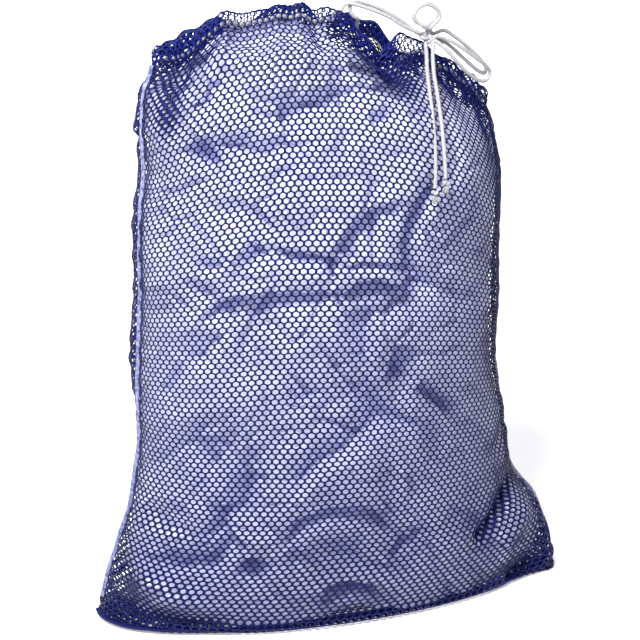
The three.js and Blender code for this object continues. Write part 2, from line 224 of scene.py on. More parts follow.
def slot_outline(u, half_width):
    """The closed mouth seen from above: a slot with round ends, as x and the share of its half depth."""
    straight = half_width - RIM_END_RADIUS
    left = unit_clip(u / RIM_ARC_SHARE) * math.pi / 2
    right = unit_clip((1.0 - u) / RIM_ARC_SHARE) * math.pi / 2
    middle = unit_clip((u - RIM_ARC_SHARE) / (1.0 - 2.0 * RIM_ARC_SHARE))
    x = straight * (2.0 * middle - 1.0) + RIM_END_RADIUS * (np.cos(right) - np.cos(left))
    return x, np.minimum(np.sin(left), np.sin(right))


def dense_levels():
    """The levels with more put in between them, on smooth curves through the given ones."""
    rows = np.arange((len(LEVELS) - 1) * LEVEL_STEPS + 1) / LEVEL_STEPS
    first = np.clip(np.floor(rows).astype(int), 0, len(LEVELS) - 2)
    t = (rows - first)[:, None]
    before = LEVELS[np.maximum(first - 1, 0)]
    low = LEVELS[first]
    high = LEVELS[first + 1]
    after = LEVELS[np.minimum(first + 2, len(LEVELS) - 1)]
    return 0.5 * (
        2 * low + (high - before) * t
        + (2 * before - 5 * low + 4 * high - after) * t ** 2
        + (3 * low - before - 3 * high + after) * t ** 3
    )


def section(level, side, u):
    """One level's outline across a panel."""
    z, lean, drop, half_width, front, back, power, slot, shift = level
    depth = front if side < 0 else back
    sine = unit_clip(np.sin(math.pi * u))
    round_x = -half_width * np.cos(math.pi * u)
    slot_x, slot_share = slot_outline(u, half_width)
    slot = min(max(slot, 0.0), 1.0)
    x = (1.0 - slot) * round_x + slot * slot_x
    y = side * max(depth, 0.0) * ((1.0 - slot) * sine ** power + slot * slot_share)
    height = (1.0 - lean) * z + lean * (rim_height(x) - drop)
    return np.stack([x + shift, y, height], -1)


def corner_forward(u, z):
    """The corners don't lie in line: the right one comes forward and the left one goes back."""
    low = smoothstep(0.16, 0.0, z)
    return low * (0.015 * smoothstep(0.2, 0.0, u) - 0.042 * smoothstep(0.78, 1.0, u))


def bottom_seam_line(u):
    sine = unit_clip(np.sin(math.pi * u))
    x = BOTTOM_SEAM_X - BOTTOM_SEAM_HALF_WIDTH * np.cos(math.pi * u)
    ear_lift = 0.004 * smoothstep(0.96, 1.0, u)
    return np.stack([x, -BOTTOM_SEAM_FORWARD * sine ** 0.85, BOTTOM_SEAM_Z + ear_lift], -1)


def panel_base(side):
    """A panel's smooth surface, as a grid of places evenly spaced across and up."""
    fine = np.linspace(0.0, 1.0, OUTLINE_STEPS)
    rows = []
    for index, level in enumerate(dense_levels()):
        outline = section(level, side, fine)
        onto_seam = smoothstep(0.0, 1.0, 1.0 - index / LEVEL_STEPS)
        outline = outline + onto_seam * (bottom_seam_line(fine) - section(LEVELS[0], side, fine))
        outline[:, 1] += corner_forward(fine, outline[:, 2])
        rows.append(resample(outline, GRID_ACROSS))
    grid = np.array(rows)
    columns = [resample(grid[:, i], GRID_UP) for i in range(GRID_ACROSS)]
    return np.stack(columns, 1)


def grid_normals(grid, side):
    across = np.gradient(grid, axis=1)
    up = np.gradient(grid, axis=0)
    return normalised(np.cross(across, up)) * (-side)


# A fold: the places it runs through, seen square on as x and z, then how far it stands out and its half
# width, all in millimetres, and how sharp it is: 2 is a soft roll and 1 is a crease.
RIM_FOLD_START = 750
FRONT_FOLDS = [
    ([(-150, 755), (-180, 722), (-196, 694), (-207, 650)], -24, 13, 1.6),
    ([(54, 752), (68, 715), (84, 688), (96, 655)], -12, 11, 1.7),
    ([(-118, 765), (-140, 725), (-158, 680)], 9, 16, 2.0),
    ([(-94, 775), (-98, 735), (-92, 690)], -6, 12, 2.0),
    ([(-20, 772), (-12, 730), (-16, 700)], -7, 12, 2.0),
    ([(-298, 30), (-262, 22), (-215, 18), (-160, 16), (-110, 16)], -8, 12, 1.6),
    ([(-262, 70), (-225, 52), (-170, 40)], 10, 16, 2.0),
    ([(170, 85), (205, 110), (240, 140), (262, 170)], -14, 11, 1.5),
    ([(215, 60), (250, 90), (275, 110)], 8, 14, 2.0),
    ([(225, 12), (262, 22), (290, 34)], -10, 9, 1.6),
    ([(-245, 165), (-215, 150), (-185, 146)], -6, 12, 2.0),
    ([(236, 225), (215, 200), (195, 185)], -6, 12, 2.0),
]
BACK_FOLDS = [
    ([(-222, 620), (-224, 665), (-208, 705)], 8, 30, 2.0),
    ([(-226, 640), (-232, 520), (-233, 340), (-240, 160)], 6, 34, 2.0),
    ([(90, 765), (105, 715), (130, 660)], -26, 16, 1.6),
    ([(-90, 772), (-100, 725), (-125, 670)], -20, 16, 1.6),
    ([(0, 770), (4, 730), (0, 690)], -12, 14, 2.0),
    ([(-290, 30), (-230, 22), (-150, 18)], -14, 12, 1.6),
    ([(290, 30), (230, 22), (150, 18)], -14, 12, 1.6),
    ([(-180, 100), (-220, 130), (-250, 170)], -10, 12, 1.5),
]


def folded(grid, folds):
    """How far each place stands out for the folds."""
    flat = grid[..., [0, 2]]
    height = np.zeros(flat.shape[:-1])
    for line, depth, half_width, sharpness in folds:
        gap, along, _ = distance_to_line(flat, np.array(line) * MM)
        if line[0][1] > RIM_FOLD_START:
            fade = smoothstep(0.0, 0.6, 1.0 - along)
        else:
            fade = smoothstep(0.0, 0.12, along + 0.02) * smoothstep(0.0, 0.45, 1.0 - along)
        height += depth * MM * fade * np.exp(-((gap / (half_width * MM)) ** sharpness))
    return height


def clear_of_sides(u, reach):
    """0 at the side seams, rising to 1 at the given reach inside them."""
    return smoothstep(0.0, reach, u) * smoothstep(0.0, reach, 1.0 - u)


def gathers(u, v, side):
    """The small pleats that fan down from the gathered hem."""
    phase = 2.6 * np.sin(5.0 * u + side) + 1.4 * np.sin(13.0 * u)
    ripple = np.sin(TURN * 15.0 * u + phase)
    strength = 0.0014 * smoothstep(0.88, 1.0, v) + 0.0008 * smoothstep(0.7, 0.95, v)
    return ripple * strength * clear_of_sides(u, 0.04)


def seam_puckers(u, v):
    """The short crossways ripples that the side seams pull into the netting."""
    near = np.exp(-u / 0.055) + np.exp(-(1.0 - u) / 0.055)
    phase = 2.0 * np.sin(9.0 * v) + 1.2 * np.sin(23.0 * v)
    ripple = np.sin(TURN * 21.0 * v + phase) + 0.5 * np.sin(TURN * 37.0 * v - phase)
    return 0.0017 * near * ripple * smoothstep(0.0, 0.1, 1.0 - v) * smoothstep(0.0, 0.03, v)


def load_lumps(grid, side):
    """The broad unevenness of the load, pressing the netting out."""
    where = grid * np.array([7.0, 7.0, 8.5])
    slow = rolling_noise(where + 3.1, 11 + side, octaves=2)
    return 0.0055 * slow


# The slack V in the front of the mouth: the X of its lowest place, and how far it reaches to each side.
GAP_X = 0.062
GAP_LEFT = 0.056
GAP_RIGHT = 0.034


def gap_share(x):
    """How far the front of the mouth sags at x, from 0 to 1: it hangs slack in one lopsided V."""
    offset = x - GAP_X
    reach = np.where(offset < 0.0, GAP_LEFT, GAP_RIGHT)
    return smoothstep(0.0, 1.0, 1.0 - np.abs(offset) / reach) ** 0.8


def slack_mouth(grid, v, side):
    top = smoothstep(0.86, 1.0, v)
    if side > 0:
        return (top ** 2)[..., None] * np.array([0.0, 0.0, -0.005])
    return (gap_share(grid[..., 0]) * top ** 1.4)[..., None] * np.array([0.003, -0.010, -0.028])


def seam_sway(v):
    """How far the side seams wander in and out."""
    return 0.0045 * rolling_noise(noise_line(v * 9.0, 4.5, 2.5), 71, octaves=2)


def make_panel_grid(side):
    grid = panel_base(side)
    u = GRID_U[None, :]
    v = GRID_V[:, None]
    normals = grid_normals(grid, side)
    held = clear_of_sides(u, 0.025) * smoothstep(0.0, 0.03, v)
    out = folded(grid, FRONT_FOLDS if side < 0 else BACK_FOLDS)
    out = (out + gathers(u, v, side) + load_lumps(grid, side) * smoothstep(0.03, 0.2, v)) * held
    out = out + seam_puckers(u, v) * clear_of_sides(u, 0.01)
    grid = grid + normals * out[..., None] + slack_mouth(grid, v, side)
    edge = (np.exp(-u / 0.03) - np.exp(-(1.0 - u) / 0.03)) * smoothstep(0.05, 0.15, v)
    grid[..., 0] += edge * seam_sway(v) * smoothstep(0.0, 0.05, 1.0 - v)
    grid[..., 2] = np.maximum(grid[..., 2], NET_LOWEST)
    return grid


def look_up(grid, u, v):
    """A grid's value at each u, v, between its own places."""
    rows, columns = grid.shape[:2]
    column = unit_clip(u) * (columns - 1)
    row = unit_clip(v) * (rows - 1)
    i = np.clip(column.astype(int), 0, columns - 2)
    j = np.clip(row.astype(int), 0, rows - 2)
    a = (column - i)[..., None]
    b = (row - j)[..., None]
    low = grid[j, i] * (1 - a) + grid[j, i + 1] * a
    high = grid[j + 1, i] * (1 - a) + grid[j + 1, i + 1] * a
    return low * (1 - b) + high * b


PANELS = {-1: make_panel_grid(-1), 1: make_panel_grid(1)}
NORMALS = {side: grid_normals(grid, side) for side, grid in PANELS.items()}
SIDE_NAMES = {-1: "front", 1: "back"}


# ---- meshes and materials
def add_mesh(name, points, faces, finish, flat_places=None):
    """A smooth-shaded mesh object. flat_places are each point's places in the flat cut, for its UV map."""
    mesh = bpy.data.meshes.new(name)
    mesh.from_pydata(np.asarray(points).tolist(), [], faces)
    mesh.validate()
    mesh.shade_smooth()
    if flat_places is not None:
        corners = np.zeros(len(mesh.loops), np.int32)
        mesh.loops.foreach_get("vertex_index", corners)
        layer = mesh.uv_layers.new(name="OFBake")
        layer.data.foreach_set("uv", np.asarray(flat_places)[corners].astype(np.float32).ravel())
    mesh.materials.append(finish)
    piece = bpy.data.objects.new(name, mesh)
    bpy.context.scene.collection.objects.link(piece)
    return piece


def add_piece(name, points, faces, finish, node, slot, body, flat_places=None):
    """A piece of the bag, in place of a CAD node."""
    piece = add_mesh(name, points, faces, finish, flat_places)
    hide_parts(node)
    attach(piece, body)
    return piece


class Nodes:
    """A short way to lay down a material's nodes, with noise that is fixed to the piece."""

    def __init__(self, name):
        self.material = bpy.data.materials.new(name)
        self.material.use_nodes = True
        self.tree = self.material.node_tree
        self.shader = self.tree.nodes["Principled BSDF"]
        self.place = self.tree.nodes.new("ShaderNodeTexCoord").outputs["Object"]

    def link(self, source, target):
        self.tree.links.new(source, target)

    def noise(self, scale, detail=3.0, stretch=(1.0, 1.0, 1.0)):
        mapping = self.tree.nodes.new("ShaderNodeMapping")
        mapping.inputs["Scale"].default_value = stretch
        self.link(self.place, mapping.inputs["Vector"])
        texture = self.tree.nodes.new("ShaderNodeTexNoise")
        texture.inputs["Scale"].default_value = scale
        texture.inputs["Detail"].default_value = detail
        self.link(mapping.outputs["Vector"], texture.inputs["Vector"])
        return texture.outputs["Fac"]

    def ramp(self, value, dark, light, low=0.3, high=0.7):
        ramp = self.tree.nodes.new("ShaderNodeValToRGB")
        ramp.color_ramp.elements[0].position = low
        ramp.color_ramp.elements[0].color = (*dark, 1.0)
        ramp.color_ramp.elements[1].position = high
        ramp.color_ramp.elements[1].color = (*light, 1.0)
        self.link(value, ramp.inputs["Fac"])
        return ramp.outputs["Color"]

    def bump(self, value, distance, strength=1.0, under=None):
        bump = self.tree.nodes.new("ShaderNodeBump")
        bump.inputs["Distance"].default_value = distance
        bump.inputs["Strength"].default_value = strength
        self.link(value, bump.inputs["Height"])
        if under is not None:
            self.link(under, bump.inputs["Normal"])
        return bump.outputs["Normal"]

    def finish(self, colour, roughness, normal, **others):
        self.link(colour, self.shader.inputs["Base Color"])
        self.link(normal, self.shader.inputs["Normal"])
        self.shader.inputs["Roughness"].default_value = roughness
        for name, value in others.items():
            self.shader.inputs[name.replace("_", " ")].default_value = value
        return self.material


def yarn_finish(name, dark, light, roughness):
    """Shiny knitted polyester yarn."""
    nodes = Nodes(name)
    colour = nodes.ramp(nodes.noise(220.0), dark, light)
    fibres = nodes.bump(nodes.noise(2600.0, 2.0), 0.0003, 0.6)
    return nodes.finish(colour, roughness, fibres, Specular_IOR_Level=0.15)


def cord_finish():
    nodes = Nodes("cord")
    colour = nodes.ramp(nodes.noise(500.0), (0.25, 0.25, 0.27), (0.38, 0.38, 0.39))
    fibres = nodes.bump(nodes.noise(3000.0, 2.0), 0.0002, 0.5)
    return nodes.finish(colour, 0.75, fibres, Sheen_Weight=0.1)


def cloth_finish(name, dark, light, pile, pile_scale):
    """White laundry: smooth for sheets and shirts, with a deep pile for towels."""
    nodes = Nodes(name)
    colour = nodes.ramp(nodes.noise(14.0, 4.0), dark, light, 0.25, 0.75)
    creases = nodes.bump(nodes.noise(38.0, 5.0, (1.0, 1.0, 1.6)), 0.006, 0.45)
    weave = nodes.bump(nodes.noise(pile_scale, 3.0), pile, 0.8, creases)
    return nodes.finish(colour, 0.95, weave, Sheen_Weight=0.2)


NAVY_YARN = yarn_finish("netting", (0.0010, 0.0024, 0.032), (0.0030, 0.0062, 0.092), 0.42)
NAVY_SEAM = yarn_finish("seam", (0.0010, 0.0022, 0.030), (0.0032, 0.0065, 0.088), 0.48)
# The hem is the netting's own yarn. Its brighter, stronger blue is painted light, standing for lit strands
# seen edge-on.
NAVY_HEM = yarn_finish("hem", (0.0010, 0.0030, 0.045), (0.0036, 0.0100, 0.150), 0.45)
PALE_STITCH = yarn_finish("side_seam", (0.03, 0.04, 0.16), (0.34, 0.36, 0.55), 0.6)
WHITE_CORD = cord_finish()
# The laundry is white. The blue-violet tint in both cloths' colours is painted light: the blue cast that
# the navy netting throws on them, and their violet shade.
SMOOTH_CLOTH = cloth_finish("smooth_cloth", (0.62, 0.62, 0.86), (0.72, 0.73, 0.92), 0.0004, 900.0)
TOWEL_CLOTH = cloth_finish("towel_cloth", (0.58, 0.58, 0.83), (0.70, 0.71, 0.90), 0.0016, 420.0)


# ---- cords
CORD_DIAMETER = 0.0048
BRAID_SIDES = 24
BRAID_STEP = 0.0006
BRAID_PITCH = 0.0058
BRAID_STRANDS = 4


def frames_along(path, closed=False):
    """Two directions square to the path at each place, turning as little as they can."""
    if closed:
        tangents = normalised(np.roll(path, -1, 0) - np.roll(path, 1, 0))
    else:
        tangents = normalised(np.gradient(path, axis=0))
    start = np.array([0.0, 0.0, 1.0]) if abs(tangents[0, 2]) < 0.8 else np.array([0.0, 1.0, 0.0])
    first = []
    for tangent in tangents:
        start = start - (start @ tangent) * tangent
        start = start / np.linalg.norm(start)
        first.append(start)
    first = np.array(first)
    second = np.cross(tangents, first)
    if closed:
        drift = math.atan2(first[0] @ second[-1], first[0] @ first[-1])
        turn = np.linspace(0.0, drift, len(path))[:, None]
        first, second = (
            np.cos(turn) * first + np.sin(turn) * second,
            np.cos(turn) * second - np.sin(turn) * first,
        )
    return first, second


def ring_faces(count, sides, closed=False):
    """The faces that join each ring of points to the next, and the last to the first when closed."""
    row = np.arange(count if closed else count - 1)[:, None]
    side = np.arange(sides)[None, :]
    after = (row + 1) % count
    beside = (side + 1) % sides
    return np.stack([
        row * sides + side, row * sides + beside, after * sides + beside, after * sides + side,
    ], -1).reshape(-1, 4)


def tube(path, radii, sides, closed=False):
    """Points and faces of a tube. radii is one number to a place, or one to a place and side."""
    first, second = frames_along(path, closed)
    angles = np.arange(sides) / sides * TURN
    count = len(path)
    radii = np.broadcast_to(np.asarray(radii, float).reshape(count, -1), (count, sides))
    ring = np.cos(angles)[None, :, None] * first[:, None] + np.sin(angles)[None, :, None] * second[:, None]
    points = (path[:, None] + ring * radii[..., None]).reshape(-1, 3)
    faces = ring_faces(count, sides, closed).tolist()
    if not closed:
        faces.append(list(range(sides))[::-1])
        faces.append([(count - 1) * sides + k for k in range(sides)])
    return points, faces


def braided(path, radius, closed=False):
    """A braided cord's points and faces: the strands stand out where they cross over."""
    count = max(8, round(length_of(path) / BRAID_STEP))
    path = resample(path, count + 1)[:count] if closed else resample(path, count)
    along = np.arange(count)[:, None] * length_of(path) / count / BRAID_PITCH * TURN
    angles = np.arange(BRAID_SIDES)[None, :] / BRAID_SIDES * TURN
    crossing = np.cos(BRAID_STRANDS * angles + along) * np.cos(BRAID_STRANDS * angles - along)
    return tube(path, radius * (0.96 + 0.10 * crossing), BRAID_SIDES, closed)


def join(parts):
    """Several sets of points and faces as one."""
    points = []
    faces = []
    for part_points, part_faces in parts:
        offset = sum(len(p) for p in points)
        points.append(part_points)
        faces += [[corner + offset for corner in face] for face in part_faces]
    return np.concatenate(points), faces


# The cords' routes, in millimetres, as the CAD has them.
CORD_DROP = 7.0
BOW = np.array([120.0, -32.0, 729.0])
BOW_REACHES = (10.4, 14.0)


def over_rim(x, y, above):
    return [x, y, rim_height(x * MM) / MM + above]


def leave_bow(x, y, z):
    direction = normalised(np.array([x, y, z], float))
    return [(BOW + direction * reach).tolist() for reach in BOW_REACHES]


def enter_bow(x, y, z):
    return leave_bow(x, y, z)[::-1]


def upright_loop(side, lean):
    return [
        *leave_bow(-0.25, 0.38 * side, 0.9),
        [107, BOW[1] + 4 * side, 747],
        [102 + lean, BOW[1] + 3.6 * side, 754],
        [106 + lean, BOW[1] + 3.4 * side, 763],
        [118 + lean, BOW[1] + 3.4 * side, 768],
        [130 + lean, BOW[1] + 3.4 * side, 762],
        [134.5 + lean, BOW[1] + 3.6 * side, 753],
        [131, BOW[1] + 4 * side, 747],
        *enter_bow(0.25, 0.38 * side, 0.9),
    ]


# Each cord: its route, the CAD body it moves with, where its far end goes, and how it lies.
CORDS = {
    "front_lead": ([
        over_rim(9, -19, -CORD_DROP), over_rim(12.5, -19, -6), over_rim(16.5, -19.1, -1.8),
        over_rim(20, -19.4, 4.2), over_rim(25, -21.8, 7.8), over_rim(34, -24.6, 8.6),
        over_rim(52, -28, 8.4), over_rim(72, -30.5, 7.6), over_rim(90, -32, 4.6),
        *enter_bow(-0.9, -0.02, 0.43),
    ], "bow", "knot", "loose"),
    "back_lead": ([
        over_rim(36, -19, -CORD_DROP), over_rim(31.5, -19, -6), over_rim(28, -18.9, -1.8),
        over_rim(27.5, -18.2, 3.8), over_rim(31.5, -15.4, 9.4), over_rim(42, -13.8, 12),
        over_rim(58, -14.6, 12.8), over_rim(74, -16.8, 12.2), over_rim(87, -20, 10.4),
        *enter_bow(-0.75, 0.6, 0.3),
    ], "bow", "knot", "loose"),
    "upright_loop_front": (upright_loop(-1, 0), "upright_loops", "object", "loose"),
    "upright_loop_back": (upright_loop(1, 2), "upright_loops", "object", "loose"),
    "side_loop_front": ([
        *leave_bow(0.9, -0.42, 0.05), [147, -41, 724], [163, -42, 714], [181, -39, 701],
        [196, -34, 690], [203, -30.5, 681], [199, -31.5, 671.5], [187, -36.5, 672.5],
        [171, -42, 683], [156, -45, 697], [143, -44.5, 712], *enter_bow(0.75, -0.5, -0.43),
    ], "side_loops", "object", "loose"),
    "side_loop_back": ([
        *leave_bow(0.93, 0.3, 0.2), [145, -24, 733.5], [161, -21.5, 724], [180, -20, 709],
        [194, -18.5, 696], [201, -19.5, 686.5], [199.5, -23.5, 678.5], [190, -26.5, 682],
        [175, -29, 694], [158, -31.5, 709], [145, -32.5, 719.5], *enter_bow(0.95, 0.05, -0.3),
    ], "side_loops", "object", "loose"),
    "left_tail": ([
        *leave_bow(-0.36, -0.72, -0.6), [114.5, -46.5, 711], [112.5, -54, 699], [110, -65, 686],
        [107, -81, 670], [104.5, -97, 651], [102, -112, 627], [99.5, -124, 602],
        [97, -131.5, 580], [96, -134, 570],
    ], "left_tail", "knot", "hanging"),
    "right_tail": ([
        *leave_bow(0.3, -0.72, -0.62), [122.5, -46.5, 711], [120.5, -54, 699], [118.5, -64, 687],
        [116.5, -79, 672], [114.5, -94, 655], [113, -109, 632], [111.5, -121, 608],
        [110.5, -128.5, 588], [110, -131, 580],
    ], "right_tail", "knot", "hanging"),
}


def trefoil(scale, count=400):
    turn = np.linspace(0.0, TURN, count + 1)
    x = np.sin(turn) + 2.0 * np.sin(2.0 * turn)
    y = np.cos(turn) - 2.0 * np.cos(2.0 * turn)
    return scale * np.stack([x, y, -np.sin(3.0 * turn)], -1)


def turned(points, towards, roll):
    """Points whose own Z axis is turned to point towards a direction."""
    z = normalised(np.asarray(towards, float))
    x = normalised(np.cross([0.3, 0.9, 0.2], z))
    y = np.cross(z, x)
    x, y = math.cos(roll) * x + math.sin(roll) * y, math.cos(roll) * y - math.sin(roll) * x
    return points @ np.array([x, y, z])


KNOT_SCALE = 0.0026
KNOT_CORD_RADIUS = 0.0023
KNOT_FACING = (-0.25, -0.9, 0.35)
KNOT_ROLL = 0.5
END_KNOT_SCALE = 0.00125
END_KNOT_CORD_RADIUS = 0.0018
END_KNOT_REACH = 0.0052
TUFT_LENGTH = 0.0105
TUFT_FIBRES = 34
TUFT_SPREAD = 0.0011
TUFT_START = 0.003
FIBRE_RADII = (0.00042, 0.00025)


def make_bow_knot():
    path = turned(trefoil(KNOT_SCALE), KNOT_FACING, KNOT_ROLL) + BOW * MM
    points, faces = braided(path, KNOT_CORD_RADIUS, closed=True)
    return add_piece("bow_knot_cord", points, faces, WHITE_CORD, "bow_knot", "cord", "bow")


def make_end_knot(tail, path, seed):
    """A tail's end: a small tight knot with the cord's fibres frayed out below it."""
    along = normalised(path[-1] - path[-12])
    centre = path[-1] + along * END_KNOT_REACH
    chance = np.random.default_rng(seed)
    core = turned(trefoil(END_KNOT_SCALE), along, seed) + centre
    parts = [braided(core, END_KNOT_CORD_RADIUS, closed=True)]
    for _ in range(TUFT_FIBRES):
        spread = turned(np.array([[*chance.normal(0.0, TUFT_SPREAD, 2), 0.0]]), along, 0.0)[0]
        reach = TUFT_LENGTH * chance.uniform(0.75, 1.0)
        start = centre + along * TUFT_START + spread * 0.5
        end = centre + along * (TUFT_START + reach) + spread * 1.6
        middle = (start + end) / 2 + spread * 0.6
        parts.append(tube(catmull_rom([start, middle, end], 8), np.linspace(*FIBRE_RADII, 8), 5))
    points, faces = join(parts)
    return add_piece(f"{tail}_end", points, faces, WHITE_CORD, f"{tail}_knot", "cord", tail)


def make_cord(name, knot):
    points, body, far_end, lay = CORDS[name]
    path = catmull_rom(np.array(points, float) * MM, 400)
    tube_points, faces = braided(path, CORD_DIAMETER / 2)
    piece = add_piece(f"{name}_cord", tube_points, faces, WHITE_CORD, name, "cord", body)
    on_it = [make_end_knot(name, path, 5 + len(name))] if name.endswith("tail") else [knot]


# ---- netting
NET_COLUMNS = 64
NET_ROWS = 127
# A cell's outline round its centre, in quarters of a column and sixths of a row.
CELL_OUTLINE = np.array([
    [0, 4], [1, 3], [2, 2], [2, 0], [2, -2], [1, -3],
    [0, -4], [-1, -3], [-2, -2], [-2, 0], [-2, 2], [-1, 3],
])
YARN_HALF_THICKNESS = 0.0008
HOLE_SHARE = 0.72
HOLE_LIMITS = (0.32, 0.8)
HOLE_ROUNDNESS = 0.55
NET_DRIFT = 0.0011


def cell_centres(columns, rows):
    """Every other row is half a cell over, so it holds one cell fewer."""
    lines = []
    for row in range(rows):
        odd = row % 2
        across = 4 * np.arange(columns - odd) + 2 + 2 * odd
        lines.append(np.stack([across, np.full_like(across, 6 * row + 4)], -1))
    return np.concatenate(lines)


def net(surface, normals, columns, rows, size, open_share, flip):
    """A hexagonal net laid on a surface, as points, faces and places in the flat cut.

    The yarn has a ridge along the middle of each strand, in front and behind, and its edges are the
    holes' outlines. open_share gives each cell's hole as a share of the cell, from the cell's place.
    """
    sides = len(CELL_OUTLINE)
    span = np.array([4 * columns, 6 * (rows - 1) + 8])
    unit = np.asarray(size) / span
    centres = cell_centres(columns, rows)
    outline = centres[:, None] + CELL_OUTLINE
    keys = outline[..., 0] * 100000 + outline[..., 1]
    _, first_use, ridge = np.unique(keys.ravel(), return_index=True, return_inverse=True)
    ridge = ridge.reshape(keys.shape)
    ridge_places = outline.reshape(-1, 2)[first_use]

    arms = CELL_OUTLINE * unit
    reach = np.linalg.norm(arms, axis=1, keepdims=True)
    rounded = HOLE_ROUNDNESS * arms / reach * reach.mean() + (1.0 - HOLE_ROUNDNESS) * arms
    shares = open_share(*(centres / span).T)
    holes = centres[:, None] + rounded * shares[:, None, None] / unit

    ridges = len(ridge_places)
    places = np.concatenate([ridge_places, ridge_places, holes.reshape(-1, 2)]) / span
    height = np.concatenate([np.ones(ridges), -np.ones(ridges), np.zeros(holes.shape[0] * sides)])
    hole = 2 * ridges + np.arange(len(centres) * sides).reshape(-1, sides)
    after = np.roll(np.arange(sides), -1)
    behind = ridge + ridges
    front = np.stack([ridge[:, after], ridge, hole, hole[:, after]], -1).reshape(-1, 4)
    back = np.stack([behind, behind[:, after], hole[:, after], hole], -1).reshape(-1, 4)
    rim = np.stack([ridge, ridge[:, after]], -1).reshape(-1, 2)
    _, first_rim, rim_uses = np.unique(np.sort(rim, 1), axis=0, return_index=True, return_counts=True)
    rim = rim[first_rim[rim_uses == 1]]
    closing = np.stack([rim[:, 0], rim[:, 1], rim[:, 1] + ridges, rim[:, 0] + ridges], -1)
    faces = np.concatenate([front, back, closing])
    if flip:
        faces = faces[:, ::-1]
    faces = faces.tolist()

    wander = np.concatenate([places * 26.0, np.full((len(places), 1), 0.5)], -1)
    drift = np.stack([lattice_noise(wander, 3), lattice_noise(wander + 9.0, 4)], -1)
    drift = drift * NET_DRIFT / np.asarray(size)
    inside = np.all((places > 0.02) & (places < 0.98), axis=-1, keepdims=True)
    moved = places + drift * inside
    ground = look_up(surface, moved[:, 0], moved[:, 1])
    facing = normalised(look_up(normals, moved[:, 0], moved[:, 1]))
    points = ground + facing * (height * YARN_HALF_THICKNESS)[:, None]
    return points, faces, places


# Where the front netting is bunched close: the tight pleats, square on as x and z, and their half widths,
# in millimetres.
BUNCHED = [
    ([(-150, 755), (-180, 722), (-196, 694), (-207, 650), (-210, 620)], 12),
    ([(35, 749), (62, 715), (81, 688), (95, 660)], 16),
    ([(-298, 26), (-240, 18), (-140, 14)], 12),
    ([(180, 90), (240, 140), (262, 170)], 9),
    ([(200, 12), (262, 22), (296, 34)], 12),
]


def panel_holes(side):
    """The holes close up along the seams and wherever the netting is bunched."""
    def open_share(u, v):
        place = look_up(PANELS[side], u, v)
        left = np.exp(-u / 0.025)
        right = np.exp(-(1.0 - u) / 0.045)
        tight = 0.10 * left + 0.24 * right if side < 0 else 0.40 * left + 0.24 * right
        corner = 0.22 * np.exp(-np.minimum(u, 1.0 - u) / 0.06) * smoothstep(0.20, 0.06, v)
        share = HOLE_SHARE - tight - corner - 0.08 * smoothstep(0.5, 0.0, v)
        if side < 0:
            share = share - 0.30 * gap_share(place[:, 0]) * smoothstep(0.90, 1.0, v)
            for line, half_width in BUNCHED:
                gap, along, _ = distance_to_line(place[:, [0, 2]], np.array(line) * MM)
                fade = smoothstep(0.0, 0.3, 1.0 - along)
                share = share - 0.28 * np.exp(-((gap / (half_width * MM)) ** 2)) * fade
        return np.clip(share, *HOLE_LIMITS)
    return open_share


def make_panel(side):
    size = (FLAT_WIDTH, FLAT_HEIGHT)
    points, faces, places = net(
        PANELS[side], NORMALS[side], NET_COLUMNS, NET_ROWS, size, panel_holes(side), side > 0,
    )
    word = SIDE_NAMES[side]
    return add_piece(f"{word}_net", points, faces, NAVY_YARN, f"{word}_panel", "netting", "bag", places)


# ---- hem and drawstring casing
HEM_HEIGHT = 0.0225
# The casing's section: how far it is in from the outer wall, and its height over the hem's foot.
HEM_SECTION = np.array([
    [0.0000, 0.0000], [-0.0012, 0.0050], [-0.0020, 0.0110], [-0.0012, 0.0170], [0.0015, 0.0212],
    [0.0048, HEM_HEIGHT], [0.0080, 0.0208], [0.0098, 0.0160], [0.0094, 0.0090], [0.0086, 0.0020],
])
HEM_ROWS = 8
# The hem's holes, from the foot of its outer wall over the top to the foot of its inner one: open in the
# front hem, and closer in the back one.
HEM_HOLE_PLACES = [0.0, 0.45, 0.6, 1.0]
HEM_HOLES = {-1: [0.78, 0.78, 0.82, 0.82], 1: [0.66, 0.62, 0.56, 0.54]}
HEM_BLUR = 12
HEM_STEPS = 40
HEM_CREST_ROW = 20
EDGE_PLACES = 700
EDGE_SIDES = 8
EDGE_RADIUS = 0.0004
CASING_INSET = 0.0046
CASING_HEIGHT = 0.0085
# The casing cord starts at the front lead, turns at the right of the slack V and crosses behind it.
CASING_START_X = 0.004
CASING_TURN_X = 0.108
CROSSING_X = (0.045, 0.090)
CASING_STRIDE = 6


def hem_foot(side):
    foot = PANELS[side][-1]
    plan = np.gradient(foot, axis=0) * np.array([1.0, 1.0, 0.0])
    outward = normalised(np.cross(plan, [0.0, 0.0, 1.0])) * (-side)
    window = np.ones(2 * HEM_BLUR + 1) / (2 * HEM_BLUR + 1)
    padded = np.pad(outward, ((HEM_BLUR, HEM_BLUR), (0, 0)), "edge")
    calm = np.stack([np.convolve(padded[:, k], window, "valid") for k in range(3)], -1)
    return foot, normalised(calm)


def hem_surface(side):
    foot, outward = hem_foot(side)
    crowd = noise_line(GRID_U * 30.0, side + 0.5, 7.5)
    ruffle = rolling_noise(crowd, 31, octaves=2)
    rise = 1.0 + 0.06 * rolling_noise(crowd * 0.4 + 5.0, 37, octaves=2)
    lean = 0.0006 * ruffle
    rows = []
    for inset, height in resample(HEM_SECTION, HEM_STEPS):
        share = height / HEM_HEIGHT
        outs = (lean * share - inset)[:, None]
        rows.append(foot + outward * outs + np.array([0.0, 0.0, 1.0]) * (height * rise)[:, None])
    return np.array(rows)


